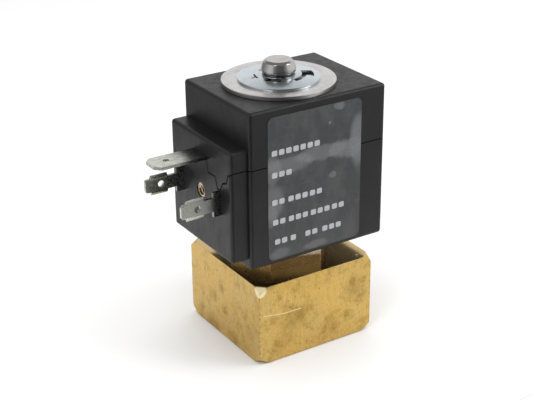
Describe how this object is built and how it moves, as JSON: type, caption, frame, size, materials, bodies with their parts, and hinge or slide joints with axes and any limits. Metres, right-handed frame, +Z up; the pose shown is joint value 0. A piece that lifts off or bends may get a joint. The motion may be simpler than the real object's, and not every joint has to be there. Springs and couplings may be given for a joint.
{
  "type": "solenoid valve",
  "caption": "Pad-mounted solenoid valve: square brass body, hex collar, and a black encapsulated coil with flat plug terminals, held on its stud by a spring clip.",
  "frame": {"origin": "centre of the valve body's underside, on the armature tube's axis", "axes": "+Z up along the armature tube, -X towards the plug terminals, -Y towards the label"},
  "size_m": [0.0544, 0.032, 0.0685],
  "materials": {
    "brass_block": "drawn bar, machined faces",
    "brass_turned": "turned",
    "black_plastic": "moulded, fine matt texture",
    "tin": "tin plated",
    "stainless": "turned and polished",
    "zinc": "zinc plated spring steel",
    "steel": "plain",
    "copper": "copper, enamelled",
    "rubber": "moulded",
    "bobbin_plastic": "moulded",
    "tape": "polyester tape",
    "label_film": "thin film, satin"
  },
  "bodies": {
    "valve_base": {"valve_body": "brass_block", "port_o_rings": "rubber", "hex_collar": "brass_turned", "armature_tube": "stainless", "tube_o_ring": "rubber", "fixed_core": "stainless", "shading_ring": "copper", "return_spring": "steel", "coil_washer": "steel", "retaining_clip": "zinc"},
    "plunger_body": {"plunger": "stainless", "plunger_seal": "rubber"},
    "coil": {"coil_housing_lower": "black_plastic", "coil_housing_upper": "black_plastic", "bobbin": "bobbin_plastic", "winding": "copper", "winding_tape": "tape", "yoke_bracket": "steel", "terminal_line": "tin", "terminal_neutral": "tin", "terminal_earth": "tin", "winding_leads": "copper", "connector_screw_insert": "brass_turned", "rating_label": "label_film"}
  },
  "joints": [
    {"name": "plunger_stroke", "type": "slide", "parent": "valve_base", "child": "plunger_body", "axis": [0, 0, 1], "range_m": [0, 0.00125], "stiffness_N_per_m": 500, "springref_m": -0.01, "deforming": ["return_spring"]},
    {"name": "coil_swivel", "type": "hinge", "parent": "valve_base", "child": "coil", "pos_m": [0, 0, 0.0435], "axis": [0, 0, 1], "continuous": true}
  ]
}
